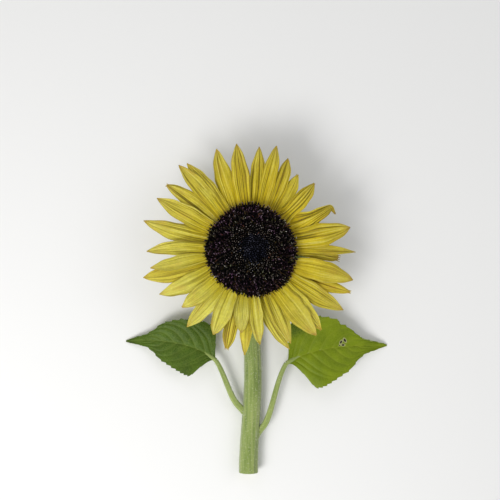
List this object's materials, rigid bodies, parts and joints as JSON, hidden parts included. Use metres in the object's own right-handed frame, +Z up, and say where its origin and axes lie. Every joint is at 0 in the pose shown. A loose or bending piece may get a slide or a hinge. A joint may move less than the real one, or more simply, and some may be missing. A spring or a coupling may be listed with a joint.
{
  "type": "cut sunflower",
  "caption": "Cut sunflower lying with its bloom facing up: dark domed disc, pale yellow ray florets, green bracts, a short stem bent at the neck, and leaves.",
  "frame": {"origin": "middle of the box around the whole flower, on the ground that it lies on", "axes": "+Z up, along the axis of the bloom; +Y from the cut end of the stem towards the bloom; +X to the right of the bloom as it is looked down on"},
  "size_m": [0.237, 0.2872, 0.0607],
  "materials": {
    "ray_petal": "matt, pale lemon yellow petal",
    "ray_petal_deep": "matt, deeper yellow petal",
    "disc_florets": "matt, near-black florets",
    "bract_green": "matt, softly hairy green",
    "stem_green": "matt, bristly green stem",
    "leaf_green": "matt, rough green leaf"
  },
  "bodies": {
    "root": {"bract_inner_1": "bract_green", "bract_inner_2": "bract_green", "bract_inner_3": "bract_green", "bract_inner_4": "bract_green", "bract_inner_5": "bract_green", "bract_inner_6": "bract_green", "bract_inner_7": "bract_green", "bract_inner_8": "bract_green", "bract_outer_01": "bract_green", "bract_outer_02": "bract_green", "bract_outer_03": "bract_green", "bract_outer_04": "bract_green", "bract_outer_05": "bract_green", "bract_outer_06": "bract_green", "bract_outer_07": "bract_green", "bract_outer_08": "bract_green", "bract_outer_09": "bract_green", "bract_outer_10": "bract_green", "bract_outer_11": "bract_green", "bract_outer_12": "bract_green", "disc": "disc_florets", "leaf_left": "leaf_green", "leaf_right": "leaf_green", "neck": "stem_green", "ray_01": "ray_petal", "ray_02": "ray_petal", "ray_03": "ray_petal", "ray_04": "ray_petal", "ray_05": "ray_petal_deep", "ray_06": "ray_petal", "ray_07": "ray_petal", "ray_08": "ray_petal", "ray_09": "ray_petal", "ray_10": "ray_petal_deep", "ray_11": "ray_petal", "ray_12": "ray_petal_deep", "ray_13": "ray_petal", "ray_14": "ray_petal_deep", "ray_15": "ray_petal", "ray_16": "ray_petal", "ray_17": "ray_petal_deep", "ray_18": "ray_petal", "ray_19": "ray_petal_deep", "ray_20": "ray_petal", "ray_21": "ray_petal_deep", "ray_22": "ray_petal", "ray_23": "ray_petal", "ray_24": "ray_petal", "ray_25": "ray_petal", "ray_26": "ray_petal_deep", "ray_27": "ray_petal", "ray_28": "ray_petal", "ray_29": "ray_petal", "ray_30": "ray_petal", "ray_31": "ray_petal", "ray_32": "ray_petal", "ray_33": "ray_petal_deep", "ray_34": "ray_petal", "receptacle": "bract_green", "stem": "stem_green"}
  },
  "joints": []
}
